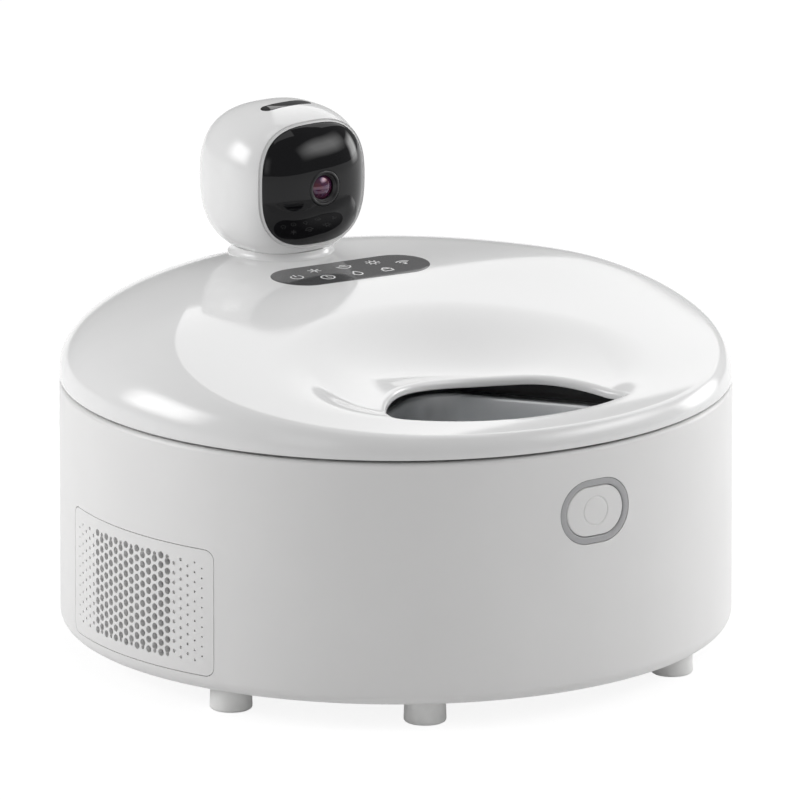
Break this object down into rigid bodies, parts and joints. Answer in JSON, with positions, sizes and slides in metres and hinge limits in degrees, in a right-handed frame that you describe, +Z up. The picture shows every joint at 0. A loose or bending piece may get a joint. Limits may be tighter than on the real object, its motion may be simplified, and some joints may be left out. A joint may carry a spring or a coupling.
{
  "type": "refrigerated wet food pet feeder",
  "caption": "Round refrigerated pet feeder: hinged lid with a feeding opening and camera head over a turning tray of steel bowls, cooled by a fan and heat sink.",
  "frame": {"origin": "on the floor under the middle of the round housing", "axes": "+Z up, the front with the release button looks towards -Y, the vent is on the -X side"},
  "size_m": [0.34, 0.34, 0.2611],
  "materials": {
    "shell_white": "satin moulded",
    "lid_white": "gloss moulded",
    "liner_white": "satin moulded",
    "grey_plastic": "satin moulded",
    "foot_rubber": "matte",
    "seal_rubber": "matte",
    "black_plastic": "fine grain",
    "black_gloss": "polished",
    "panel_dark": "printed back",
    "bowl_steel": "drawn and polished",
    "plain_steel": "zinc plated",
    "well_aluminium": "anodised",
    "sink_aluminium": "extruded",
    "foam": "foamed",
    "ceramic": "sintered",
    "board_green": "solder mask",
    "gear_white": "moulded acetal",
    "filter_mesh": "woven mesh",
    "lens": "coated"
  },
  "bodies": {
    "housing": {"body_shell": "shell_white", "vent_grille": "shell_white", "dust_filter": "filter_mesh", "base_plate": "shell_white", "base_screws": "plain_steel", "feet": "foot_rubber", "cold_well": "well_aluminium", "foam_wall": "foam", "foam_floor": "foam", "cold_plate": "well_aluminium", "peltier_module": "ceramic", "heat_sink": "sink_aluminium", "fan_frame": "black_plastic", "drive_motor": "grey_plastic", "bearing_bush": "gear_white", "main_board": "board_green", "dc_inlet": "black_plastic", "button_bezel": "grey_plastic", "hinge_bracket": "shell_white", "hinge_pin": "plain_steel"},
    "lid": {"lid_shell": "lid_white", "lid_liner": "liner_white", "liner_rim": "liner_white", "lid_gasket": "seal_rubber", "lid_knuckle": "shell_white", "lid_catch": "plain_steel", "liner_screws": "plain_steel", "control_panel": "panel_dark", "panel_board": "board_green"},
    "camera": {"head_shell": "lid_white", "head_face": "black_gloss", "lens_barrel": "black_plastic", "lens_glass": "lens", "camera_board": "board_green", "camera_pivot": "grey_plastic", "top_bar": "black_gloss"},
    "button": {"release_button": "shell_white", "latch_hook": "gear_white"},
    "tray": {"spindle": "plain_steel", "tray_gear": "gear_white", "tray_carousel": "black_plastic", "bowl_1": "bowl_steel", "bowl_2": "bowl_steel", "bowl_3": "bowl_steel", "closing_plate": "black_plastic"},
    "pinion": {"drive_pinion": "gear_white"},
    "fan": {"fan_rotor": "black_plastic"}
  },
  "joints": [
    {"name": "lid_hinge", "type": "hinge", "parent": "housing", "child": "lid", "pos_m": [0, 0.161, 0.151], "axis": [-1, 0, 0], "range_deg": [0, 88]},
    {"name": "camera_pan", "type": "hinge", "parent": "lid", "child": "camera", "pos_m": [0, 0.099, 0.19], "axis": [0, 0, 1], "range_deg": [-45, 45]},
    {"name": "button_press", "type": "slide", "parent": "housing", "child": "button", "axis": [0, 1, 0], "range_m": [0, 0.0025], "stiffness_N_per_m": 600},
    {"name": "tray_turn", "type": "hinge", "parent": "housing", "child": "tray", "pos_m": [0, 0, 0.06], "axis": [0, 0, 1], "continuous": true},
    {"name": "pinion_turn", "type": "hinge", "parent": "housing", "child": "pinion", "pos_m": [0, 0.0541, 0.056], "axis": [0, 0, 1], "continuous": true},
    {"name": "fan_spin", "type": "hinge", "parent": "housing", "child": "fan", "pos_m": [-0.1495, 0, 0.053], "axis": [1, 0, 0], "continuous": true}
  ],
  "couplings": [
    {"joint": "pinion_turn", "follows": "tray_turn", "ratio": -3}
  ]
}
